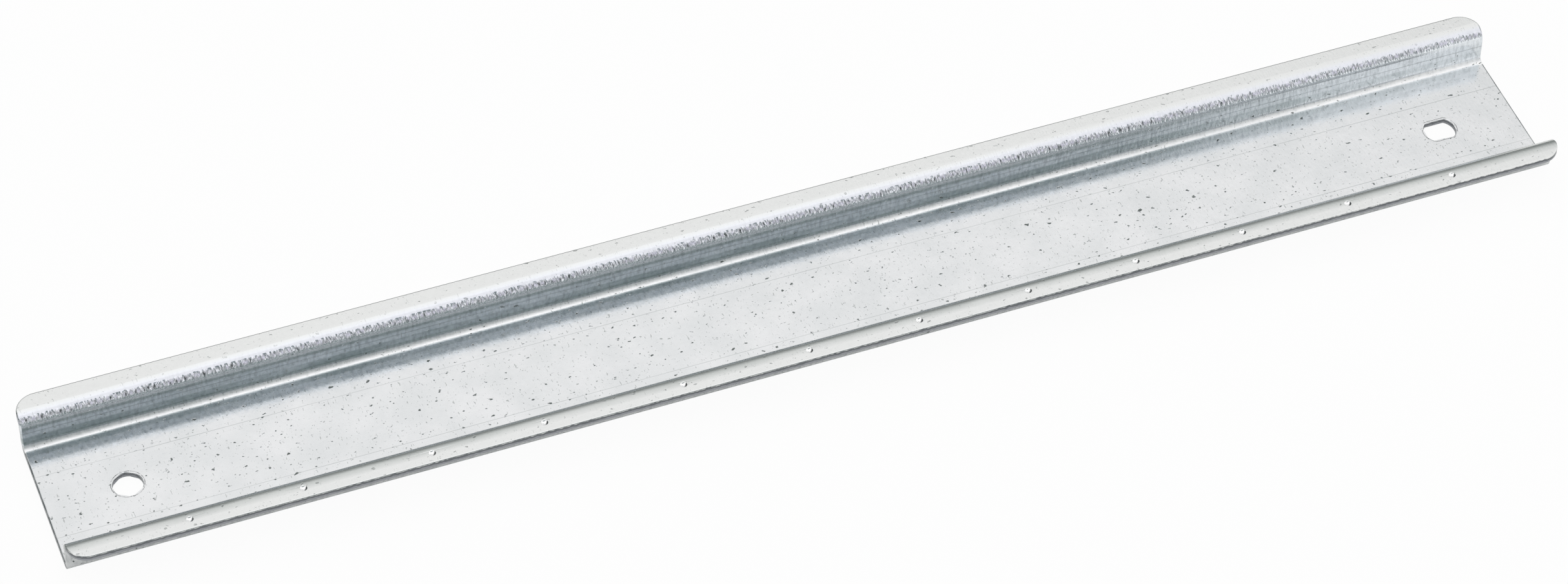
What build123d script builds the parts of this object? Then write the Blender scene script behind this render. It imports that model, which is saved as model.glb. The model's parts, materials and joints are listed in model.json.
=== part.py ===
"""Mounting rail of top-hat section, 35 mm wide and 7.5 mm high, one strip of zinc-coated steel.

Millimetres. X runs along the rail, Y across it, Z up from the underside of the web.
The origin is on the underside, in the middle of the length and of the width.
"""

import os

from build123d import *

# Section of the roll-formed strip
WIDTH = 35.0  # across the two flanges
HEIGHT = 7.5  # underside of the web to the top of the flanges
THICKNESS = 1.0
CHANNEL_WIDTH = 25.0  # clear between the inner faces of the walls
UPPER_BEND_RADIUS = 1.5  # inside of the bends between the walls and the flanges
LOWER_BEND_RADIUS = 1.0  # inside of the bends between the walls and the web

# Cut length and the rounded corners of the flanges, seen from above
LENGTH = 250.0
CORNER_RADIUS = 3.5

# Fixing holes in the web, on its centre line
HOLE_DIAMETER = 4.8
HOLE_FROM_END = 13.3
SLOT_LENGTH = 5.3
SLOT_WIDTH = 4.2
SLOT_FROM_END = 13.4

# Pricked marks along the flange on the -Y side: the steps start at the end with the round hole
MARK_DIAMETER = 1.1
MARK_DEPTH = 0.35
MARK_FROM_EDGE = 1.9
MARK_STEPS = [19.2, 18.0, 20.6, 18.2, 22.8, 20.9] + 6 * [18.5]


def hat_section() -> Sketch:
    """Section of the strip in the YZ plane: its upper and lower face, joined at the flange edges."""
    flange = WIDTH / 2
    inner = CHANNEL_WIDTH / 2
    outer = inner + THICKNESS
    # The upper bend takes at most half of the flange outside the wall, which leaves the rest flat
    upper_bend = min(UPPER_BEND_RADIUS, (flange - outer) / 2)
    upper_radii = [upper_bend + THICKNESS, LOWER_BEND_RADIUS]
    lower_radii = [upper_bend, LOWER_BEND_RADIUS + THICKNESS]
    upper_corners = [
        (-flange, HEIGHT),
        (-inner, HEIGHT),
        (-inner, THICKNESS),
        (inner, THICKNESS),
        (inner, HEIGHT),
        (flange, HEIGHT),
    ]
    lower_corners = [
        (flange, HEIGHT - THICKNESS),
        (outer, HEIGHT - THICKNESS),
        (outer, 0),
        (-outer, 0),
        (-outer, HEIGHT - THICKNESS),
        (-flange, HEIGHT - THICKNESS),
    ]
    with BuildSketch(Plane.YZ) as section:
        with BuildLine():
            upper = FilletPolyline(*upper_corners, radius=upper_radii + upper_radii[::-1])
            lower = FilletPolyline(*lower_corners, radius=lower_radii + lower_radii[::-1])
            Line(upper @ 1, lower @ 0)
            Line(lower @ 1, upper @ 0)
        make_face()
    return section.sketch


def slot_outline() -> Sketch:
    """Slot along X: a round hole of the slot's length with two flats."""
    with BuildSketch() as slot:
        Circle(SLOT_LENGTH / 2)
        Rectangle(SLOT_LENGTH, SLOT_WIDTH, mode=Mode.INTERSECT)
    return slot.sketch


def rail() -> Part:
    """The whole rail, with rounded flange corners, the two fixing holes and the row of marks."""
    ball_radius = (MARK_DIAMETER**2 / 4 + MARK_DEPTH**2) / (2 * MARK_DEPTH)
    mark_places = []
    x = -LENGTH / 2
    for step in MARK_STEPS:
        x += step
        mark_places.append((x, MARK_FROM_EDGE - WIDTH / 2, HEIGHT - MARK_DEPTH + ball_radius))

    with BuildPart() as body:
        extrude(hat_section(), amount=LENGTH / 2, both=True)
        with BuildSketch():
            RectangleRounded(LENGTH, WIDTH, CORNER_RADIUS)
        extrude(amount=HEIGHT, mode=Mode.INTERSECT)
        with BuildSketch():
            with Locations((HOLE_FROM_END - LENGTH / 2, 0)):
                Circle(HOLE_DIAMETER / 2)
            with Locations((LENGTH / 2 - SLOT_FROM_END, 0)):
                add(slot_outline())
        extrude(amount=THICKNESS, mode=Mode.SUBTRACT)
        with Locations(*mark_places):
            Sphere(ball_radius, mode=Mode.SUBTRACT)
    return body.part


os.makedirs("parts", exist_ok=True)
export_step(rail(), "parts/rail.step")
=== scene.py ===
"""Dressed scene of a mounting rail: one strip of zinc-coated steel, rolled to a top-hat section.

Metres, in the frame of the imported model: X along the rail, Y across it, Z up from its underside.
The strip is made flat, as the punch leaves it, with its holes, rounded corners and pricked marks.
A node tree then folds it along the section, as the forming rolls do.
"""

import json
import logging
import math
from dataclasses import dataclass, field, replace
from enum import Enum
from itertools import accumulate
from typing import Any

import bmesh
import bpy
from bmesh.types import BMesh, BMVert
from bpy.types import Material, Mesh, Node, NodeSocket, NodeTree, Object, World
from mathutils import Matrix, Vector
from mathutils.geometry import delaunay_2d_cdt


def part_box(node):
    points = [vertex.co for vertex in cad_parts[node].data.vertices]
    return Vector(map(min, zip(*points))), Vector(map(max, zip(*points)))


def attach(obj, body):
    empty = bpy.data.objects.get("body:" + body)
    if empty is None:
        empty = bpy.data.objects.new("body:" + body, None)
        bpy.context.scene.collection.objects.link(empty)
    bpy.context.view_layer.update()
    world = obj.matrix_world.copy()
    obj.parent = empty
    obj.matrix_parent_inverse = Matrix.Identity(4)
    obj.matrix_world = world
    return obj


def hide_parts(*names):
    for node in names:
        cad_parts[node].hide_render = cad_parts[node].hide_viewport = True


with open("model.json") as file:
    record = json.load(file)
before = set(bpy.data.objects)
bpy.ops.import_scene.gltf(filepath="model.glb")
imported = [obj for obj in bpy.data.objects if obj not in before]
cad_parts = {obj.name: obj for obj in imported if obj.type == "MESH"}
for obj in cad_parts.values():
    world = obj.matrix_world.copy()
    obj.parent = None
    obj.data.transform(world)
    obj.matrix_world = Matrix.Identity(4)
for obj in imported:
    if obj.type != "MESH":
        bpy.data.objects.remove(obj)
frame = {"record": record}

log = logging.getLogger("rail")

MM = 0.001
NODE = "rail"
STRIP_UV = "strip"
# Attributes of the mesh
UPRIGHT = "upright"
PRICKED = "pricked"
PAINTED_SHADE_SIDE = "dragged"
CUT = "cut"

CLOUDY = (0.35, 0.65)  # a cloudy pattern is mostly between these values
CLOUDY_MEAN = 0.5
BEND_PEAK = 0.25  # upright share times level share in the middle of a bend, where both are a half
INSIDE_OUTLINES = 1  # triangulation that leaves out what is outside the outlines
MATH = "ShaderNodeMath"
VECTOR_MATH = "ShaderNodeVectorMath"
MAP_RANGE = "ShaderNodeMapRange"


class Face(Enum):
    """The two faces of the sheet, by the side of its middle line that they are on."""

    UPPER = 1
    LOWER = -1


class Runs(Enum):
    """Which way a line on the strip runs, by the axis its place is measured on."""

    ALONG = "Y"
    ACROSS = "X"


def linear(hex_colour: str) -> tuple[float, float, float, float]:
    """Turns an sRGB hex colour into linear light.

    Args:
        hex_colour: Six hex digits after a hash, such as "#E6E7E6".

    Returns:
        Red, green, blue and an alpha of 1.
    """
    channels = [int(hex_colour[i : i + 2], 16) / 255 for i in (1, 3, 5)]
    light = [c / 12.92 if c <= 0.04045 else ((c + 0.055) / 1.055) ** 2.4 for c in channels]
    return (*light, 1.0)


def add_node(
    tree: NodeTree,
    kind: str,
    inputs: dict[str | int, Any] | None = None,
    **settings: Any,
) -> Node:
    """Adds a node to a tree, with its settings and its links.

    Args:
        tree: Tree that gets the node.
        kind: Blender's identifier of the node type.
        inputs: For each named or numbered input, a value, an output socket, or a node whose first
            output is meant.
        **settings: Properties of the node itself.

    Returns:
        The new node.
    """
    node = tree.nodes.new(kind)
    for name, value in settings.items():
        setattr(node, name, value)
    for key, value in (inputs or {}).items():
        source = value.outputs[0] if isinstance(value, Node) else value
        if isinstance(source, NodeSocket):
            tree.links.new(source, node.inputs[key])
        else:
            node.inputs[key].default_value = source
    return node


def fresh_tree(owner: Material | World) -> NodeTree:
    """Turns on the nodes of a material or a world, and empties its tree.

    Args:
        owner: Material or world.

    Returns:
        The empty tree.
    """
    owner.use_nodes = True
    owner.node_tree.nodes.clear()
    return owner.node_tree


def link_object(name: str, data: bpy.types.ID) -> Object:
    """Makes an object at the origin and puts it in the scene.

    Args:
        name: Name of the object.
        data: Mesh, curve, light or camera that it shows.

    Returns:
        The object.
    """
    made = bpy.data.objects.new(name, data)
    bpy.context.scene.collection.objects.link(made)
    return made


@dataclass(frozen=True)
class Clouds:
    """Cloudy pattern with clouds of a given size, in millimetres, along each axis of its place."""

    size: tuple[float, float, float]
    detail: float = 2.0

    def draw(self, tree: NodeTree, place: NodeSocket) -> Node:
        """Adds the pattern to a material.

        Args:
            tree: Tree of the material.
            place: Place on the piece, in metres.

        Returns:
            Node whose first output is the pattern, around 0.5.
        """
        scale = tuple(1 / (size * MM) for size in self.size)
        at = add_node(tree, "ShaderNodeMapping", {"Vector": place, "Scale": scale})
        return add_node(tree, "ShaderNodeTexNoise", {"Vector": at, "Scale": 1.0, "Detail": self.detail})


@dataclass(frozen=True)
class Specks:
    """Ragged spots of one colour: the peaks of a cloudy pattern."""

    clouds: Clouds
    colour: str
    level: float
    softness: float = 0.05
    cover: float = 1.0

    def draw(self, tree: NodeTree, place: NodeSocket) -> Node:
        """Adds the spots to a material.

        Args:
            tree: Tree of the material.
            place: Place on the piece, in metres.

        Returns:
            Node whose first output is how much the spots cover.
        """
        peaks = {
            "Value": self.clouds.draw(tree, place),
            "From Min": self.level,
            "From Max": self.level + self.softness,
            "To Max": self.cover,
        }
        return add_node(tree, MAP_RANGE, peaks)


@dataclass(frozen=True)
class RollLine:
    """Broken line or band on the strip, at full strength in its core: marks that the rolls and the shear
    left, and painted shade and highlight at the bends.
    """

    place: float
    colour: str = "#A6ABAA"
    width: float = 0.2 * MM
    core: float = 0.0
    cover: float = 0.5
    runs: Runs = Runs.ALONG
    fades: bool = False  # towards the +X end, as the dark strokes of the bend do, which paints that end lighter
    breaks: Clouds = Clouds((17.0, 3.0, 1.0))

    def draw(self, tree: NodeTree, place: NodeSocket) -> Node:
        """Adds the line to a material.

        Args:
            tree: Tree of the material.
            place: Place on the flat strip, in metres.

        Returns:
            Node whose first output is how strong the line is.
        """
        here = add_node(tree, "ShaderNodeSeparateXYZ", {"Vector": place}).outputs[self.runs.value]
        aside = add_node(tree, MATH, {0: here, 1: self.place}, operation="SUBTRACT")
        distance = add_node(tree, MATH, {0: aside}, operation="ABSOLUTE")
        profile = {
            "Value": distance,
            "From Min": self.width / 2,
            "From Max": self.core / 2,
            "To Max": self.cover / CLOUDY_MEAN,
        }
        inside = add_node(tree, MAP_RANGE, profile)
        broken = self.breaks.draw(tree, place)
        return add_node(tree, MATH, {0: inside, 1: broken}, operation="MULTIPLY")


@dataclass(frozen=True)
class Zones:
    """Parts of the folded strip: how much a place belongs to each, from 0 to 1."""

    upright: NodeSocket  # the walls
    level: Node  # the web and the flanges
    raised: Node  # all that is on the flanges' side
    far: Node  # all that is on the +Y side
    lamp_tint_zone: Node  # upper bend of the +Y side, where the coating was stretched and a painted tint of the lamp's bluish reflection lies
    grainy: Node  # the more upright part of that bend
    lighter_end_fade: Node  # the whole strip, but less towards its +X end, which is painted lighter

    def of_line(self, line: RollLine) -> Node | float:
        """Tells which part a line keeps to, where 1 stands for the whole strip."""
        kept = self.level if line.runs is Runs.ACROSS else 1.0
        return self.lighter_end_fade if line.fades else kept


@dataclass(frozen=True)
class ZincCoat:
    """Hot-dip zinc on cold-rolled steel strip, folded after it was coated.

    To the eye: a pale satin grey metal with a faint cloudy mottle and small dark pits, fine lines and
    dull bands from the rolls along it, a frosted grain on the upper bend of the +Y side, where the
    coating was stretched, bright pricked marks, and darker grey steel where the strip was cut, with a
    lighter burr below. Painted on top: a bluish painted reflection tint on the +Y wall and its bends, a
    painted tint of the lamp's reflection on its upper bend, white strokes of painted highlight and dark
    strokes of painted reflection in the grain, painted shade along the -Y flange's bend and on one side
    of each mark, a painted highlight on the +Y fillet, and the +X end painted lighter.
    """

    pale: str = "#E9EAEB"
    dull: str = "#E1E3E4"
    flange: str = "#E7E8E7"
    # Bluish painted reflection tint on the +Y wall and its bends
    wall: str = "#F5FAFF"
    # Painted tint of the lamp's bluish reflection, on the upper bend of the +Y side
    frosted: str = "#E9EBF2"
    pricked: str = "#FFFFFF"
    # Painted shade on one side of each pricked mark
    dragged: str = "#5F6364"
    bare_steel: str = "#75787C"
    burr: str = "#A4A6AB"
    # Where the painted shade on one side of a mark starts and where it is full, as shares of the mark's
    # radius
    shade_side_from: tuple[float, float] = (0.25, 0.6)
    roughness: float = 0.13
    dull_roughness: float = 0.2
    bend_dullness: float = 0.36  # roughness that the middle of a lower bend has on top
    clouds: Clouds = Clouds((7.0,) * 3, detail=3.0)
    mottle: Clouds = Clouds((0.7,) * 3)
    specks: tuple[Specks, ...] = (
        Specks(Clouds((0.34, 1.3, 1.0)), "#ADB1B0", level=0.66, cover=0.75),
        Specks(Clouds((0.6, 0.5, 1.0)), "#A2A7A5", level=0.67, cover=0.85),
        Specks(Clouds((1.15, 0.85, 1.0)), "#6C7270", level=0.675),
    )
    specks_on_flanges: float = 0.4
    wall_streaks: Specks = Specks(Clouds((0.5, 2.0, 1.0)), "#90969A", level=0.45, softness=0.25, cover=0.35)
    # The grain is drawn about twice as coarse as the real one, so that it shows
    frost: Clouds = Clouds((0.4, 1.5, 1.0))
    frost_depth: float = 1.2 * MM
    flat_frost_depth: float = 0.015 * MM
    # How upright the sheet is where the painted tint and the grain of the bend start, and where both end
    tint_start: tuple[float, float] = (0.03, 0.3)
    frost_start: tuple[float, float] = (0.32, 0.6)
    frost_end: tuple[float, float] = (0.58, 0.84)
    # Dark strokes in the grain: painted reflection of the dark surroundings
    frost_strokes: Specks = Specks(
        Clouds((0.5, 1.7, 1.0)), "#4E5455", level=0.525, softness=0.08, cover=0.95
    )
    # White strokes in the grain: painted highlight where the frost scatters the lamp's light
    frost_sparks: Specks = Specks(Clouds((0.48, 2.0, 1.0)), "#F6F5FF", level=0.5, softness=0.06)
    spark_roughness: float = 0.65
    # Where along the rail the dark strokes and the wall's lines start to fade, which paints the +X end
    # lighter, where they are faintest, and what is left of them there
    strokes_fade: tuple[float, float] = (55.0 * MM, 118.0 * MM)
    faint_strokes: float = 0.3
    # Heights that the web's side reaches up to and that the flanges' side starts at
    low: float = 2.5 * MM
    high: float = 5.0 * MM
    roll_streaks: Clouds = Clouds((90.0, 0.5, 1.0), detail=3.0)
    streak_depth: float = 0.003 * MM
    ripple: Clouds = Clouds((0.9, 0.9, 1.0))
    ripple_depth: float = 0.004 * MM
    pit_depth: float = 0.03 * MM
    # How far down the cut the broken part starts, below the burnished one, and the burr, as shares; the
    # ends of the walls are burnished all through
    broken_from: float = 0.16
    burr_from: float = 0.58
    ragged: Clouds = Clouds((0.8,) * 3)
    raggedness: float = 0.5
    cut_fade: float = 0.06

    def build(self, lines: list[RollLine]) -> Material:
        """Makes the material.

        Args:
            lines: Fine lines on the strip.

        Returns:
            The finished material.
        """
        material = bpy.data.materials.new("zinc_coated_steel")
        tree = fresh_tree(material)
        strip = add_node(tree, "ShaderNodeUVMap", uv_map=STRIP_UV).outputs["UV"]
        place = add_node(tree, "ShaderNodeTexCoord").outputs["Object"]
        zones = self._zones(tree, place)
        span = {"Value": self.clouds.draw(tree, place), "From Min": CLOUDY[0], "From Max": CLOUDY[1]}
        spots = [spot.draw(tree, strip) for spot in self.specks]
        kept = {"Value": zones.raised, "To Min": 1.0, "To Max": self.specks_on_flanges}
        fainter = add_node(tree, MAP_RANGE, kept)
        dark_grain = add_node(tree, MATH, {0: zones.lighter_end_fade, 1: zones.grainy}, operation="MULTIPLY")
        white_grain = {0: self.frost_sparks.draw(tree, strip), 1: zones.grainy}
        sparks = add_node(tree, MATH, white_grain, operation="MULTIPLY")
        pricked, dragged = (
            add_node(tree, "ShaderNodeAttribute", attribute_name=name).outputs["Fac"]
            for name in (PRICKED, PAINTED_SHADE_SIDE)
        )
        start, end = self.shade_side_from
        side = {"Value": dragged, "From Min": start, "From Max": end}
        # Pattern, part of the strip that it keeps to, and colour, from the lowest layer up
        layers = [
            (add_node(tree, MAP_RANGE, span), 1.0, self.dull),
            (zones.raised, zones.level, self.flange),
            # Painted reflection tint on the +Y wall and its bends
            (zones.upright, zones.far, self.wall),
            # Painted tint of the lamp's bluish reflection on the +Y upper bend
            (zones.lamp_tint_zone, 1.0, self.frosted),
            # Lines, among them painted shade at the -Y flange's bend and a painted highlight on the +Y
            # fillet
            *((line.draw(tree, strip), zones.of_line(line), line.colour) for line in lines),
            (self.wall_streaks.draw(tree, strip), zones.upright, self.wall_streaks.colour),
            # Dark strokes of painted reflection and white strokes of painted highlight in the grain
            (self.frost_strokes.draw(tree, strip), dark_grain, self.frost_strokes.colour),
            (sparks, 1.0, self.frost_sparks.colour),
            *((cover, fainter, spot.colour) for cover, spot in zip(spots, self.specks)),
            (pricked, 1.0, self.pricked),
            # Painted shade on one side of each mark
            (add_node(tree, MAP_RANGE, side), 1.0, self.dragged),
            (self._cut_below(tree, place, self.broken_from), zones.level, self.bare_steel),
            (self._cut_below(tree, place, self.burr_from), zones.level, self.burr),
        ]
        colour: Any = linear(self.pale)
        for pattern, part, shade in layers:
            cover = add_node(tree, MATH, {0: pattern, 1: part}, operation="MULTIPLY")
            blend = {"Factor": cover, "A": colour, "B": linear(shade)}
            colour = add_node(tree, "ShaderNodeMix", blend, data_type="RGBA").outputs["Result"]
        finish = {
            "Base Color": colour,
            "Metallic": 1.0,
            "Roughness": self._roughness(tree, place, zones, sparks),
            "Normal": self._relief(tree, strip, zones.grainy, spots[-1]),
        }
        shader = add_node(tree, "ShaderNodeBsdfPrincipled", finish)
        add_node(tree, "ShaderNodeOutputMaterial", {"Surface": shader})
        return material

    def _zones(self, tree: NodeTree, place: NodeSocket) -> Zones:
        """Works out which parts of the folded strip a place belongs to.

        Args:
            tree: Tree of the material.
            place: Place on the piece, in metres.

        Returns:
            The parts.
        """
        along, across, height = add_node(tree, "ShaderNodeSeparateXYZ", {"Vector": place}).outputs
        upright = add_node(tree, "ShaderNodeAttribute", attribute_name=UPRIGHT).outputs["Fac"]
        level = add_node(tree, MATH, {0: 1.0, 1: upright}, operation="SUBTRACT")
        rise = {"Value": height, "From Min": self.low, "From Max": self.high}
        raised = add_node(tree, MAP_RANGE, rise)
        far = add_node(tree, MATH, {0: across, 1: 0.0}, operation="GREATER_THAN")
        far_bend = add_node(tree, MATH, {0: raised, 1: far}, operation="MULTIPLY")
        # The coating is stretched most near the middle of a bend, where its grain and the painted tint of
        # the lamp's reflection lie
        full, end = self.frost_end
        falling = {"Value": upright, "From Min": full, "From Max": end, "To Min": 1.0, "To Max": 0.0}
        outward = add_node(tree, MAP_RANGE, falling, interpolation_type="SMOOTHSTEP")
        ended = add_node(tree, MATH, {0: outward, 1: far_bend}, operation="MULTIPLY")
        stretched = []
        for start, full in (self.tint_start, self.frost_start):
            rising = {"Value": upright, "From Min": start, "From Max": full}
            inward = add_node(tree, MAP_RANGE, rising, interpolation_type="SMOOTHSTEP")
            stretched.append(add_node(tree, MATH, {0: inward, 1: ended}, operation="MULTIPLY"))
        lamp_tint_zone, grainy = stretched
        start, end = self.strokes_fade
        fading = {"Value": along, "From Min": start, "From Max": end, "To Min": 1.0}
        lighter_end_fade = add_node(tree, MAP_RANGE, {**fading, "To Max": self.faint_strokes})
        return Zones(upright, level, raised, far, lamp_tint_zone, grainy, lighter_end_fade)

    def _cut_below(self, tree: NodeTree, place: NodeSocket, start: float) -> Node:
        """Marks the lower part of each cut edge, with a ragged upper limit.

        Args:
            tree: Tree of the material.
            place: Place on the piece, in metres.
            start: How far down the cut the part starts, as a share.

        Returns:
            Node whose first output is 1 on that part.
        """
        cut = add_node(tree, "ShaderNodeAttribute", attribute_name=CUT).outputs["Fac"]
        shift = {0: self.ragged.draw(tree, place), 1: self.raggedness, 2: cut}
        limit = start + self.raggedness * CLOUDY_MEAN
        span = {
            "Value": add_node(tree, MATH, shift, operation="MULTIPLY_ADD"),
            "From Min": limit - self.cut_fade,
            "From Max": limit + self.cut_fade,
        }
        return add_node(tree, MAP_RANGE, span)

    def _roughness(self, tree: NodeTree, place: NodeSocket, zones: Zones, sparks: Node) -> Node:
        """Works out the roughness, which is higher on the lower bends and in the white strokes.

        Args:
            tree: Tree of the material.
            place: Place on the piece, in metres.
            zones: Parts of the strip.
            sparks: Node whose first output is 1 in the white strokes.

        Returns:
            Node whose first output is the roughness.
        """
        uneven = {
            "Value": self.mottle.draw(tree, place),
            "From Min": CLOUDY[0],
            "From Max": CLOUDY[1],
            "To Min": self.roughness,
            "To Max": self.dull_roughness,
        }
        rough = add_node(tree, MAP_RANGE, uneven)
        bend = add_node(tree, MATH, {0: zones.upright, 1: zones.level}, operation="MULTIPLY")
        lowered = add_node(tree, MATH, {0: 1.0, 1: zones.raised}, operation="SUBTRACT")
        low_bend = add_node(tree, MATH, {0: bend, 1: lowered}, operation="MULTIPLY")
        for where, most in ((low_bend, self.bend_dullness / BEND_PEAK), (sparks, self.spark_roughness)):
            rougher = {0: where, 1: most, 2: rough}
            rough = add_node(tree, MATH, rougher, operation="MULTIPLY_ADD")
        return rough

    def _relief(self, tree: NodeTree, strip: NodeSocket, grainy: Node, pits: Node) -> Node:
        """Adds the fine relief of the surface.

        Args:
            tree: Tree of the material.
            strip: Place on the flat strip, in metres.
            grainy: Node whose first output is how grainy the coating is, from 0 to 1.
            pits: Node whose first output is 1 in the pits.

        Returns:
            Node whose first output is the bumped normal.
        """
        depths = {0: grainy, 1: self.frost_depth, 2: self.flat_frost_depth}
        frosted = add_node(tree, MATH, depths, operation="MULTIPLY_ADD")
        # The mean of the pattern is taken off, so that a change of depth doesn't tilt the surface
        grain = {0: self.frost.draw(tree, strip), 1: CLOUDY_MEAN}
        uneven = add_node(tree, MATH, grain, operation="SUBTRACT")
        height = add_node(tree, MATH, {0: uneven, 1: frosted}, operation="MULTIPLY")
        layers = (
            (self.roll_streaks.draw(tree, strip), self.streak_depth),
            (self.ripple.draw(tree, strip), self.ripple_depth),
            (pits, -self.pit_depth),
        )
        for pattern, depth in layers:
            added = {0: pattern, 1: depth, 2: height}
            height = add_node(tree, MATH, added, operation="MULTIPLY_ADD")
        return add_node(tree, "ShaderNodeBump", {"Distance": 1.0, "Height": height})


@dataclass(frozen=True)
class HatSection:
    """Middle line of the folded sheet, seen along the rail."""

    width: float
    height: float
    thickness: float
    channel: float = 25.0 * MM
    upper_inside_radius: float = 1.5 * MM
    lower_inside_radius: float = 1.0 * MM
    bend_steps: int = 14
    crease_margin: float = 0.15 * MM

    @property
    def upper_radius(self) -> float:
        """Radius of the middle line where a wall meets its flange."""
        return self.upper_inside_radius + self.thickness / 2

    @property
    def lower_radius(self) -> float:
        """Radius of the middle line where a wall meets the web."""
        return self.lower_inside_radius + self.thickness / 2

    def corners(self) -> list[Vector]:
        """Works out the middle line before its bends are rounded.

        Returns:
            Its corners, from the -Y edge to the +Y edge.
        """
        half = self.thickness / 2
        wall = self.channel / 2 + half
        far_side = [(wall, half), (wall, self.height - half), (self.width / 2, self.height - half)]
        near_side = [(-y, z) for y, z in reversed(far_side)]
        return [Vector((0.0, y, z)) for y, z in near_side + far_side]

    def runs(self) -> list[float]:
        """Measures the middle line.

        Returns:
            Lengths of flats and bends in turn, from the -Y edge.
        """
        corners = self.corners()
        bends = [self.upper_radius, self.lower_radius, self.lower_radius, self.upper_radius]
        # A bend is a chain of straight steps, so it is a little shorter than its quarter circle
        arc_share = self.bend_steps * 2 * math.sin(math.pi / 4 / self.bend_steps)
        lengths = []
        for start, end, before, after in zip(corners, corners[1:], [0.0, *bends], [*bends, 0.0]):
            lengths.append((end - start).length - before - after)
            lengths.append(after * arc_share)
        return lengths[:-1]

    @property
    def flat_width(self) -> float:
        """Width of the strip before it is folded."""
        return sum(self.runs())

    def fold_lines(self) -> list[float]:
        """Finds the lines along which the sheet turns, with one just outside each bend.

        Returns:
            Their places across the flat strip.
        """
        ends = list(accumulate(self.runs()))
        lines = []
        for start, end in zip(ends[0:-1:2], ends[1::2]):
            step = (end - start) / self.bend_steps
            lines.append(start - self.crease_margin)
            lines.extend(start + i * step for i in range(self.bend_steps + 1))
            lines.append(end + self.crease_margin)
        return lines

    def curve(self) -> Object:
        """Makes the unrounded middle line as a curve in the YZ plane.

        Returns:
            The curve.
        """
        data = bpy.data.curves.new("section_line", "CURVE")
        data.dimensions = "3D"
        spline = data.splines.new("POLY")
        corners = self.corners()
        spline.points.add(len(corners) - 1)
        for point, corner in zip(spline.points, corners):
            point.co = (*corner, 1.0)
        return link_object("section_line", data)


@dataclass(frozen=True)
class PunchedHole:
    """Hole in the web: round, or round with two flats along the rail."""

    centre: Vector
    radius: float
    half_height: float
    steps: int = 28

    def outline(self) -> list[Vector]:
        """Draws the edge of the hole.

        Returns:
            Its points, clockwise, so that the sheet is on the left.
        """
        reach = math.asin(min(1.0, self.half_height / self.radius))
        with_flats = self.half_height < self.radius
        points = []
        for middle in (0.0, math.pi):
            for i in range(self.steps + with_flats):
                angle = middle + reach * (2 * i / self.steps - 1)
                points.append(self.centre + self.radius * Vector((math.cos(angle), math.sin(angle))))
        return points[::-1]

    def holds(self, point: Vector) -> bool:
        """Tells whether a point of the flat strip is in the hole."""
        offset = point - self.centre
        return offset.length < self.radius and abs(offset.y) < self.half_height


@dataclass(frozen=True)
class CutEdge:
    """Profile of a sheared edge: rolled over on the upper face, nearly sharp on the lower one."""

    roll_over: float = 0.2 * MM
    burr_side: float = 0.06 * MM
    margin: float = 0.12 * MM
    steps: int = 4

    def rings(self, thickness: float) -> list[tuple[float, float, float]]:
        """Works out the rings from the upper face down to the lower one.

        Args:
            thickness: Thickness of the sheet.

        Returns:
            Distance in from the edge, height over the middle of the sheet, and share of the cut above.
        """
        top = thickness / 2
        quarter = [math.pi / 2 * i / self.steps for i in range(self.steps + 1)]
        rolled, burred = self.roll_over, self.burr_side
        profile = [(rolled * (1 - math.sin(a)), top - rolled * (1 - math.cos(a))) for a in quarter]
        profile += [(burred * (1 - math.cos(a)), burred * (1 - math.sin(a)) - top) for a in quarter]
        rings = [(self.roll_over + self.margin, top, 0.0)]
        rings += [(inset, height, (top - height) / thickness) for inset, height in profile]
        rings.append((self.burr_side + self.margin, -top, 0.0))
        return rings


def inset_directions(outline: list[Vector]) -> list[Vector]:
    """Works out which way each point of an outline moves when the outline shrinks into the sheet.

    Args:
        outline: Closed outline with the sheet on its left.

    Returns:
        One direction a point, as long as the mitre needs for an inset of 1.
    """
    directions = []
    for i, here in enumerate(outline):
        before = (here - outline[i - 1]).normalized()
        after = (outline[(i + 1) % len(outline)] - here).normalized()
        left, right = (Vector((-run.y, run.x)) for run in (before, after))
        directions.append((left + right) / (1 + left.dot(right)))
    return directions


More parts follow.
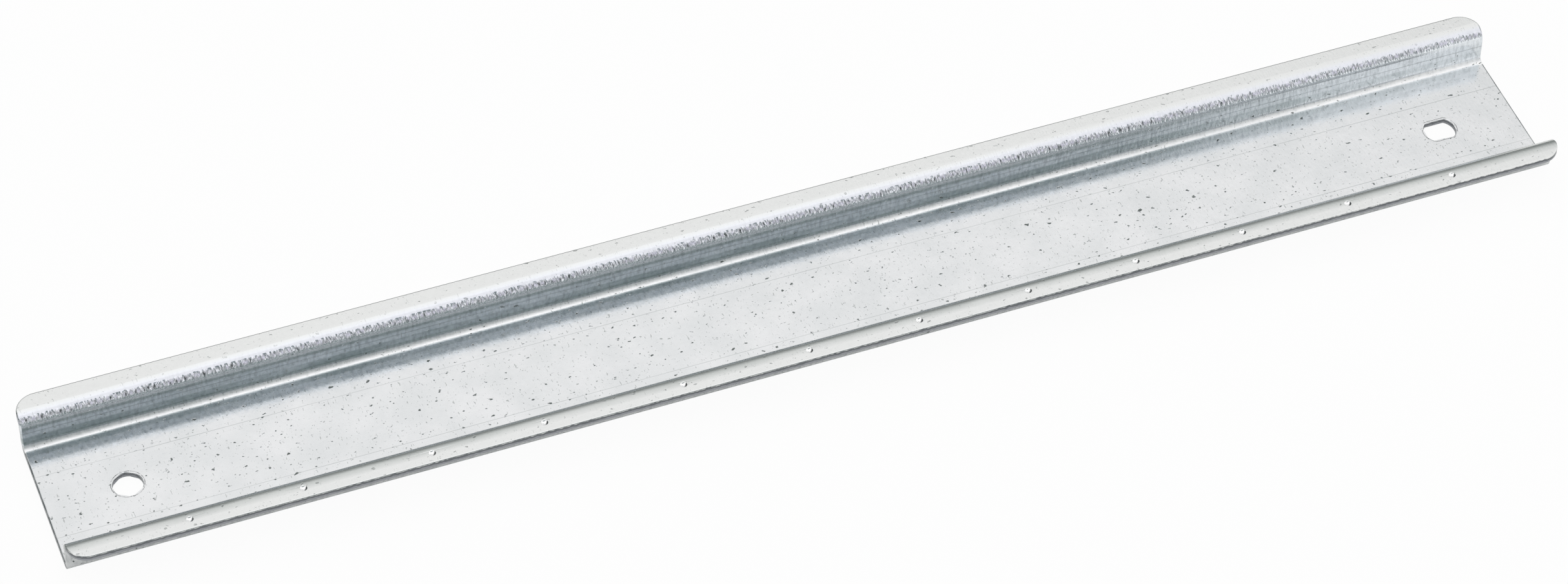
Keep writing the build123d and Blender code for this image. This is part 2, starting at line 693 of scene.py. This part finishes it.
@dataclass
class Blank:
    """The strip before folding: x along the rail, y across the flat sheet, z from its middle."""

    section: HatSection
    length: float
    holes: list[PunchedHole]
    marks: list[Vector]
    corner_radius: float = 3.5 * MM
    corner_steps: int = 12
    column_spacing: float = 5.0 * MM
    # Rings of points round a mark, in millimetres from its middle
    mark_rings: tuple[float, ...] = (0.08, 0.2, 0.32, 0.43, 0.5, 0.55, 0.6, 0.75)
    mark_steps: int = 24
    weld_distance: float = 0.0002 * MM
    same_point: float = 1e-9  # metres within which the triangulation takes two points as one
    edge: CutEdge = field(default_factory=CutEdge)

    def columns(self) -> list[float]:
        """Spaces the columns of points evenly along the rail, between the rounded corners.

        Returns:
            Their places.
        """
        reach = self.length / 2 - self.corner_radius
        count = round(2 * reach / self.column_spacing)
        return [reach * (2 * i / count - 1) for i in range(count + 1)]

    def outline(self) -> list[Vector]:
        """Draws the edge of the strip, with a point where each fold line meets an end.

        Returns:
            Its points, anticlockwise.
        """
        radius = self.corner_radius
        half = self.length / 2
        top = self.section.flat_width
        along = self.columns()
        up = [y for y in self.section.fold_lines() if radius < y < top - radius]
        sides = [
            [Vector((x, 0.0)) for x in along[1:-1]],
            [Vector((half, y)) for y in up],
            [Vector((x, top)) for x in along[-2:0:-1]],
            [Vector((-half, y)) for y in reversed(up)],
        ]
        middles = [(half - radius, radius), (half - radius, top - radius)]
        middles += [(-x, y) for x, y in reversed(middles)]
        points = []
        for turn, (side, middle) in enumerate(zip(sides, middles)):
            points.extend(side)
            for i in range(self.corner_steps + 1):
                angle = math.pi / 2 * (turn - 1 + i / self.corner_steps)
                points.append(Vector(middle) + radius * Vector((math.cos(angle), math.sin(angle))))
        return points

    def mark_points(self) -> Object:
        """Makes a mesh of one point at each pricked mark, on the flat strip.

        Returns:
            The points.
        """
        data = bpy.data.meshes.new("mark_points")
        data.from_pydata([(*mark, 0.0) for mark in self.marks], [], [])
        return link_object("mark_points", data)

    def mesh(self) -> Mesh:
        """Builds the closed flat sheet, with its flat coordinates as a UV map.

        Returns:
            The sheet.
        """
        bm = bmesh.new()
        cut = bm.verts.layers.float.new(CUT)
        outlines = [self.outline()] + [hole.outline() for hole in self.holes]
        rings = self.edge.rings(self.section.thickness)
        for outline in outlines:
            self._cut_wall(bm, cut, outline, rings)
        self._face(bm, Face.UPPER, outlines, rings[0])
        self._face(bm, Face.LOWER, outlines, rings[-1])
        bmesh.ops.remove_doubles(bm, verts=bm.verts, dist=self.weld_distance)
        strip = bm.loops.layers.uv.new(STRIP_UV)
        for face in bm.faces:
            face.smooth = True
            for corner in face.loops:
                corner[strip].uv = corner.vert.co.xy
        data = bpy.data.meshes.new("strip")
        bm.to_mesh(data)
        bm.free()
        return data

    @staticmethod
    def _cut_wall(
        bm: BMesh,
        cut: Any,
        outline: list[Vector],
        rings: list[tuple[float, float, float]],
    ) -> None:
        """Builds the sheared edge round one outline.

        Args:
            bm: Mesh that gets the faces.
            cut: Layer that holds the share of the cut above a point.
            outline: Outline with the sheet on its left.
            rings: Profile of the edge, from the upper face down.
        """
        directions = inset_directions(outline)
        above: list[BMVert] = []
        for inset, height, above_share in rings:
            ring = [bm.verts.new((*(p + d * inset), height)) for p, d in zip(outline, directions)]
            for vert in ring:
                vert[cut] = above_share
            for i in range(len(above)):
                bm.faces.new((above[i - 1], ring[i - 1], ring[i], above[i]))
            above = ring

    def _face(
        self,
        bm: BMesh,
        side: Face,
        outlines: list[list[Vector]],
        ring: tuple[float, float, float],
    ) -> None:
        """Fills one face of the sheet with triangles that keep to the fold lines.

        Args:
            bm: Mesh that gets the faces.
            side: Face of the sheet to fill.
            outlines: Outline of the strip, then those of its holes.
            ring: Ring of the cut edge that the face ends at.
        """
        inset, height, _ = ring
        points: list[Vector] = []
        edges: list[tuple[int, int]] = []
        for outline in outlines:
            first = len(points)
            points.extend(p + d * inset for p, d in zip(outline, inset_directions(outline)))
            count = len(outline)
            edges.extend((first + i, first + (i + 1) % count) for i in range(count))
        rim = points[: len(outlines[0])]
        inner_columns = self.columns()
        for y in self.section.fold_lines():
            ends = [
                min(range(len(rim)), key=lambda i: (rim[i] - Vector((x, y))).length)
                for x in (-self.length / 2, self.length / 2)
            ]
            first = len(points)
            points.extend(Vector((x, y)) for x in inner_columns)
            chain = [ends[0], *range(first, len(points)), ends[1]]
            edges.extend(zip(chain, chain[1:]))
        if side is Face.UPPER:
            points.extend(self._mark_grid())
        filled = delaunay_2d_cdt(points, edges, [], INSIDE_OUTLINES, self.same_point)
        places, _, triangles, *_ = filled
        verts = [bm.verts.new((*place, height)) for place in places]
        for triangle in triangles:
            middle = sum((places[i] for i in triangle), Vector((0.0, 0.0))) / 3
            if any(hole.holds(middle) for hole in self.holes):
                continue
            bm.faces.new([verts[i] for i in triangle[:: side.value]])

    def _mark_grid(self) -> list[Vector]:
        """Rings each mark with points that are close enough together to show its bowl.

        Returns:
            The points, with the middle of each mark.
        """
        points = []
        for mark in self.marks:
            points.append(mark)
            for radius in self.mark_rings:
                for i in range(self.mark_steps):
                    angle = 2 * math.pi * i / self.mark_steps
                    points.append(mark + radius * MM * Vector((math.cos(angle), math.sin(angle))))
        return points


@dataclass
class Rail:
    """The whole rail: the flat strip, pricked and folded along its section."""

    section: HatSection
    length: float
    round_hole_x: float
    round_hole_radius: float
    slot_x: float
    slot_length: float = 5.3 * MM
    slot_width: float = 4.2 * MM
    mark_from_edge: float = 1.9 * MM
    # From mark to mark, in millimetres, from the end with the round hole
    mark_steps: tuple[float, ...] = (19.2, 18.0, 20.6, 18.2, 22.8, 20.9, *6 * (18.5,))
    mark_radius: float = 0.55 * MM
    mark_depth: float = 0.28 * MM
    # Way across a mark towards its side of painted shade
    mark_shade_way: tuple[float, float, float] = (0.8, -0.6, 0.0)
    # Lines on the strip: in from both ends, in from the +Y edge, painted shade at the -Y flange's bend,
    # across the web, and down the +Y wall, with the painted highlight of its fillet last
    end_lines: tuple[RollLine, ...] = (
        RollLine(0.08 * MM, "#596264", width=0.4 * MM, cover=1.0, runs=Runs.ACROSS),
    )
    edge_lines: tuple[RollLine, ...] = (RollLine(0.08 * MM, "#868A8A", width=0.36 * MM, cover=0.9),)
    # Painted shade along the -Y flange's bend, spread onto the flange
    painted_bend_shade: tuple[RollLine, ...] = (
        RollLine(0.2 * MM, "#A9AFAC", width=2.6 * MM, core=0.5 * MM, cover=0.45),
    )
    web_lines: tuple[RollLine, ...] = (RollLine(4.6 * MM), RollLine(17.6 * MM))
    wall_lines: tuple[RollLine, ...] = (
        RollLine(0.77 * MM, "#6A7172", width=0.3 * MM, cover=0.4),
        RollLine(0.8 * MM, "#B4BFC0", width=2.4 * MM, core=1.4 * MM, cover=0.34, fades=True),
        RollLine(2.35 * MM, "#B4BFC0", width=1.7 * MM, core=1.1 * MM, cover=0.8, fades=True),
        RollLine(3.45 * MM, "#6B6866", width=0.36 * MM, cover=0.3, fades=True),
        # Painted highlight on the fillet at the foot of the +Y wall
        RollLine(4.5 * MM, "#FFFFFF", width=2.0 * MM, core=1.3 * MM, cover=1.0),
    )
    finish: ZincCoat = field(default_factory=ZincCoat)

    @classmethod
    def from_frame(cls) -> "Rail":
        """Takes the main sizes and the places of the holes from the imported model.

        Returns:
            The rail.
        """
        low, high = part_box(NODE)
        mounts = {mount["name"]: mount for mount in frame["record"]["mounts"]}
        bore = mounts["round_hole"]
        section = HatSection(high.y - low.y, high.z - low.z, bore["dims"]["length_mm"] * MM)
        return cls(
            section,
            length=high.x - low.x,
            round_hole_x=bore["pos_m"][0],
            round_hole_radius=bore["dims"]["r_mm"] * MM,
            slot_x=mounts["slotted_hole"]["pos_m"][0],
        )

    def blank(self) -> Blank:
        """Works out the flat strip with its holes and the places of its marks.

        Returns:
            The strip.
        """
        middle = self.section.flat_width / 2
        radius = self.round_hole_radius
        holes = [
            PunchedHole(Vector((self.round_hole_x, middle)), radius, radius),
            PunchedHole(Vector((self.slot_x, middle)), self.slot_length / 2, self.slot_width / 2),
        ]
        along = [x * MM - self.length / 2 for x in accumulate(self.mark_steps)]
        marks = [Vector((x, self.mark_from_edge)) for x in along]
        return Blank(self.section, self.length, holes, marks)

    def build(self) -> Object:
        """Makes the rail and dresses it.

        Returns:
            The finished piece, a plain mesh at the origin.
        """
        # Where each flat and bend ends, in turn, across the flat strip
        ends = list(accumulate(self.section.runs()))
        half = self.length / 2
        # Lines, the place that theirs are measured from, and which way
        groups = (
            (self.end_lines, half, -1),
            (self.end_lines, -half, 1),
            (self.edge_lines, ends[8], -1),
            (self.painted_bend_shade, ends[0], 1),
            (self.web_lines, ends[3], 1),
            (self.wall_lines, ends[6], -1),
        )
        lines = [
            replace(line, place=start + way * line.place)
            for group, start, way in groups
            for line in group
        ]
        material = self.finish.build(lines)
        profile = self.section.curve()
        blank = self.blank()
        marks = blank.mark_points()
        flat = link_object("flat_strip", blank.mesh())
        tree = self._fold_tree()
        modifier = flat.modifiers.new("fold", "NODES")
        modifier.node_group = tree
        # The ball that leaves a bowl of a mark's radius and depth
        ball = (self.mark_radius**2 + self.mark_depth**2) / (2 * self.mark_depth)
        values = {
            "Section": profile,
            "Marks": marks,
            "Middle": self.section.height / 2,
            "Upper Radius": self.section.upper_radius,
            "Lower Radius": self.section.lower_radius,
            "Bend Steps": self.section.bend_steps,
            "Ball Radius": ball,
            "Ball Lift": ball - self.mark_depth,
            "Mark Radius": self.mark_radius,
            "Mark Drag": self.mark_shade_way,
            "Finish": material,
        }
        for name, value in values.items():
            modifier[tree.interface.items_tree[name].identifier] = value
        shown = flat.evaluated_get(bpy.context.evaluated_depsgraph_get())
        piece = link_object("folded_rail", bpy.data.meshes.new_from_object(shown))
        flat.modifiers.clear()
        for helper in (flat, profile, marks):
            bpy.data.objects.remove(helper)
        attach(piece, "root")
        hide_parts(NODE)
        return piece

    @staticmethod
    def _fold_tree() -> NodeTree:
        """Builds the tree that pricks the marks into the flat strip and folds it along the section.

        Returns:
            The tree.
        """
        tree = bpy.data.node_groups.new("fold_strip", "GeometryNodeTree")
        sockets = {
            "Geometry": ("Geometry",),
            "Object": ("Section", "Marks"),
            "Float": ("Middle", "Upper Radius", "Lower Radius", "Ball Radius", "Ball Lift", "Mark Radius"),
            "Int": ("Bend Steps",),
            "Vector": ("Mark Drag",),
            "Material": ("Finish",),
        }
        for kind, names in sockets.items():
            for name in names:
                tree.interface.new_socket(name, in_out="INPUT", socket_type=f"NodeSocket{kind}")
        tree.interface.new_socket("Geometry", in_out="OUTPUT", socket_type="NodeSocketGeometry")
        given = add_node(tree, "NodeGroupInput").outputs

        flat = add_node(tree, "GeometryNodeInputPosition")
        x, y, z = add_node(tree, "ShaderNodeSeparateXYZ", {0: flat}).outputs

        # Pricked marks: each is the bowl of a ball, whose middle is held over the face by its lift
        points = add_node(tree, "GeometryNodeObjectInfo", {"Object": given["Marks"]}).outputs["Geometry"]
        level = add_node(tree, "ShaderNodeCombineXYZ", {"X": x, "Y": y})
        nearest = add_node(
            tree, "GeometryNodeProximity", {0: points, "Sample Position": level}, target_element="POINTS"
        )
        steps = {
            "ball_square": ("POWER", given["Ball Radius"], 2.0),
            "away_square": ("POWER", nearest.outputs["Distance"], 2.0),
            "inside": ("SUBTRACT", "ball_square", "away_square"),
            "under": ("MAXIMUM", "inside", 0.0),
            "reach": ("SQRT", "under"),
            "sunk": ("SUBTRACT", "reach", given["Ball Lift"]),
            "bowl": ("MAXIMUM", "sunk", 0.0),
            "upper": ("GREATER_THAN", z, 0.0),
            "pricked": ("MULTIPLY", "bowl", "upper"),
            "height": ("SUBTRACT", z, "pricked"),
        }
        made: dict[str, Node] = {}
        for name, (operation, *values) in steps.items():
            inputs = {i: made[v] if isinstance(v, str) else v for i, v in enumerate(values)}
            made[name] = add_node(tree, MATH, inputs, operation=operation)

        # The fold: each point goes to its place along the rounded section, off the line by its height
        line = add_node(tree, "GeometryNodeObjectInfo", {"Object": given["Section"]}).outputs["Geometry"]
        is_upper = add_node(tree, MATH, {0: z, 1: given["Middle"]}, operation="GREATER_THAN")
        radii = {"Switch": is_upper, "False": given["Lower Radius"], "True": given["Upper Radius"]}
        radius = add_node(tree, "GeometryNodeSwitch", radii, input_type="FLOAT")
        bends = {"Curve": line, "Count": given["Bend Steps"], "Radius": radius}
        rounded = add_node(tree, "GeometryNodeFilletCurve", bends, mode="POLY")
        across = {"Curves": rounded, "Length": y}
        sample = add_node(tree, "GeometryNodeSampleCurve", across, mode="LENGTH", use_all_curves=True)
        tangent = sample.outputs["Tangent"]
        off_sheet = add_node(tree, VECTOR_MATH, {0: (1.0, 0.0, 0.0), 1: tangent}, operation="CROSS_PRODUCT")
        along = add_node(tree, "ShaderNodeCombineXYZ", {"X": x})
        on_line = add_node(tree, VECTOR_MATH, {0: sample.outputs["Position"], 1: along}, operation="ADD")
        raised = add_node(tree, VECTOR_MATH, {0: off_sheet, "Scale": made["height"]}, operation="SCALE")
        place = add_node(tree, VECTOR_MATH, {0: raised, 1: on_line}, operation="ADD")

        # How upright the sheet is, 0 on the flats and 1 on the walls, and where it is pricked
        rise = add_node(tree, "ShaderNodeSeparateXYZ", {0: tangent}).outputs["Z"]
        upright = add_node(tree, MATH, {0: rise, 1: 2.0}, operation="POWER")
        sunken = add_node(tree, MATH, {0: made["pricked"], 1: 0.0}, operation="GREATER_THAN")

        # Which side of a mark a point is on: -1 to 1 along the way towards its side of painted shade
        away = add_node(tree, VECTOR_MATH, {0: level, 1: nearest.outputs["Position"]}, operation="SUBTRACT")
        ahead = add_node(tree, VECTOR_MATH, {0: away, 1: given["Mark Drag"]}, operation="DOT_PRODUCT")
        share = {0: ahead.outputs["Value"], 1: given["Mark Radius"]}
        turned = add_node(tree, MATH, share, operation="DIVIDE")
        dragged = add_node(tree, MATH, {0: turned, 1: sunken}, operation="MULTIPLY")

        marked = given["Geometry"]
        for name, value in {UPRIGHT: upright, PRICKED: sunken, PAINTED_SHADE_SIDE: dragged}.items():
            kept = {"Geometry": marked, "Name": name, "Value": value}
            marked = add_node(tree, "GeometryNodeStoreNamedAttribute", kept, domain="POINT")
        folded = add_node(tree, "GeometryNodeSetPosition", {"Geometry": marked, "Position": place})
        real = add_node(tree, "GeometryNodeRealizeInstances", {"Geometry": folded})
        dressed = add_node(tree, "GeometryNodeSetMaterial", {"Geometry": real, "Material": given["Finish"]})
        add_node(tree, "NodeGroupOutput", {"Geometry": dressed})
        return tree


@dataclass(frozen=True)
class Studio:
    """White table in a white room, with one soft lamp, a dark card in front and a skirt behind.

    The card stands on the camera's side, nearer than the camera. It and the skirt are only there to be
    mirrored by the metal.
    """

    room_colour: str = "#FFFFFF"
    floor_size: float = 8.0
    floor_drop: float = 0.05 * MM
    floor_colour: str = "#F4F4F2"
    floor_shadow_share: float = 0.05
    floor_mirrored_share: float = 0.25
    card_colour: str = "#868F8E"
    card_top_colour: str = "#EDF1FF"
    card_distance: float = 0.4
    card_left: float = -1.0
    card_right_foot: float = 0.215
    card_right_top: float = 0.31
    card_fade: tuple[float, float] = (0.44, 0.569)
    card_top: float = 0.568
    skirt_colour: str = "#969A99"
    skirt_radius: float = 1.5
    skirt_top_colour: str = "#FFFFFF"
    skirt_fade: tuple[float, float] = (0.4, 1.501)
    skirt_height: float = 1.5
    skirt_steps: int = 24
    skirt_start: float = 35.0  # degrees anticlockwise from +X
    lamp_colour: str = "#EEF3FF"
    lamp_size: float = 0.9
    lamp_place: tuple[float, float, float] = (0.0, 0.15, 1.3)
    lamp_power: float = 0.35

    def build(self) -> list[Object]:
        """Makes the surroundings.

        Returns:
            The floor, the card and the skirt, which aren't part of the object.
        """
        self._room()
        self._lamp()
        staged = [self._floor(), self._card(), self._skirt()]
        return staged

    def _room(self) -> None:
        """Fills the world with even white light."""
        world = bpy.data.worlds.new("white_room")
        tree = fresh_tree(world)
        light = add_node(tree, "ShaderNodeBackground", {"Color": linear(self.room_colour)})
        add_node(tree, "ShaderNodeOutputWorld", {"Surface": light})
        bpy.context.scene.world = world

    def _lamp(self) -> None:
        """Hangs one soft lamp over the rail."""
        data = bpy.data.lights.new("overhead_lamp", "AREA")
        data.size = self.lamp_size
        data.energy = self.lamp_power
        data.color = linear(self.lamp_colour)[:3]
        lamp = link_object("overhead_lamp", data)
        lamp.location = self.lamp_place
        lamp.visible_camera = False

    def _floor(self) -> Object:
        """Makes the white floor, which shows the rail's shadow.

        Returns:
            The floor.
        """
        half = self.floor_size / 2
        data = bpy.data.meshes.new("floor")
        corners = [(-half, -half), (half, -half), (half, half), (-half, half)]
        data.from_pydata([(x, y, -self.floor_drop) for x, y in corners], [], [(0, 1, 2, 3)])
        material = bpy.data.materials.new("white_paper")
        tree = fresh_tree(material)
        rays = add_node(tree, "ShaderNodeLightPath").outputs
        shown = {0: rays["Is Camera Ray"], 1: 1 - self.floor_shadow_share}
        seen = add_node(tree, MATH, shown, operation="MULTIPLY")
        mirrored = {0: rays["Is Glossy Ray"], 1: self.floor_mirrored_share, 2: seen}
        share = add_node(tree, MATH, mirrored, operation="MULTIPLY_ADD")
        paper = add_node(tree, "ShaderNodeBsdfDiffuse", {"Color": linear(self.floor_colour)})
        white = add_node(tree, "ShaderNodeEmission", {"Color": linear(self.room_colour)})
        mixed = add_node(tree, "ShaderNodeMixShader", {0: share, 1: paper, 2: white})
        add_node(tree, "ShaderNodeOutputMaterial", {"Surface": mixed})
        data.materials.append(material)
        return link_object("floor", data)

    def _card(self) -> Object:
        """Stands a dark card with a slanted end in front of the rail, which the +Y wall mirrors.

        Returns:
            The card.
        """
        outline = [
            (self.card_left, 0.0),
            (self.card_right_foot, 0.0),
            (self.card_right_top, self.card_top),
            (self.card_left, self.card_top),
        ]
        corners = [(x, -self.card_distance, z) for x, z in outline]
        colours = (self.card_colour, self.card_top_colour)
        return self._mirrored_sheet("card", corners, [(0, 1, 2, 3)], colours, self.card_fade)

    def _skirt(self) -> Object:
        """Stands a skirt round the back of the table, dark below, which the rounded edges mirror.

        Returns:
            The skirt.
        """
        count = self.skirt_steps
        start = math.radians(self.skirt_start)
        turns = [start + (math.pi - start) * i / (count - 1) for i in range(count)]
        ring = [(self.skirt_radius * math.cos(t), self.skirt_radius * math.sin(t)) for t in turns]
        places = [(x, y, z) for z in (0.0, self.skirt_height) for x, y in ring]
        faces = [(i, i + 1, i + 1 + count, i + count) for i in range(count - 1)]
        colours = (self.skirt_colour, self.skirt_top_colour)
        return self._mirrored_sheet("skirt", places, faces, colours, self.skirt_fade)

    @staticmethod
    def _mirrored_sheet(
        name: str,
        places: list[tuple[float, float, float]],
        faces: list[tuple[int, ...]],
        colours: tuple[str, str],
        fade: tuple[float, float],
    ) -> Object:
        """Makes a sheet that only mirrors show.

        Args:
            name: Name of the sheet.
            places: Its corners.
            faces: Its faces, by the numbers of their corners.
            colours: Hex colours at the floor and at the top.
            fade: Heights between which it fades from the one to the other.

        Returns:
            The sheet.
        """
        data = bpy.data.meshes.new(name)
        data.from_pydata(places, [], faces)
        material = bpy.data.materials.new(f"{name}_paper")
        tree = fresh_tree(material)
        place = add_node(tree, "ShaderNodeTexCoord").outputs["Object"]
        height = add_node(tree, "ShaderNodeSeparateXYZ", {"Vector": place}).outputs["Z"]
        span = {"Value": height, "From Min": fade[0], "From Max": fade[1]}
        faded = add_node(tree, MAP_RANGE, span)
        low, high = (linear(colour) for colour in colours)
        shades = {"Factor": faded, "A": low, "B": high}
        shade = add_node(tree, "ShaderNodeMix", shades, data_type="RGBA").outputs["Result"]
        paper = add_node(tree, "ShaderNodeEmission", {"Color": shade})
        add_node(tree, "ShaderNodeOutputMaterial", {"Surface": paper})
        data.materials.append(material)
        sheet = link_object(name, data)
        sheet.visible_camera = False
        return sheet


@dataclass(frozen=True)
class PhotoCamera:
    """Camera at the photograph's viewing angle."""

    aim: tuple[float, float, float] = (-2.18 * MM, 3.86 * MM, 0.0)
    distance: float = 842.5 * MM
    azimuth: float = -111.082
    elevation: float = 47.211
    roll: float = 0.714
    lens: float = 120.985
    sensor: float = 36.0
    clip_start: float = 10.0 * MM

    def build(self) -> Object:
        """Makes the camera and gives it to the scene.

        Returns:
            The camera.
        """
        data = bpy.data.cameras.new("camera")
        data.lens = self.lens
        data.sensor_width = self.sensor
        data.sensor_fit = "HORIZONTAL"
        data.clip_start = self.clip_start
        camera = link_object("camera", data)
        turn, tilt = math.radians(self.azimuth), math.radians(self.elevation)
        back = Vector((math.cos(tilt) * math.cos(turn), math.cos(tilt) * math.sin(turn), math.sin(tilt)))
        level = back.to_track_quat("Z", "Y").to_matrix().to_4x4()
        camera.matrix_world = (
            Matrix.Translation(Vector(self.aim) + back * self.distance)
            @ level
            @ Matrix.Rotation(math.radians(self.roll), 4, "Z")
        )
        bpy.context.scene.camera = camera
        return camera


def main() -> None:
    """Builds the scene."""
    logging.basicConfig(level=logging.INFO, format="%(name)s: %(message)s")
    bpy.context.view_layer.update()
    bpy.context.scene.view_settings.view_transform = "Standard"
    piece = Rail.from_frame().build()
    log.info("%s: %d faces", piece.name, len(piece.data.polygons))
    for staged in Studio().build():
        log.info("%s: stage", staged.name)
    log.info("camera: at %s", tuple(round(c, 4) for c in PhotoCamera().build().location))


if __name__ == "__main__":
    main()
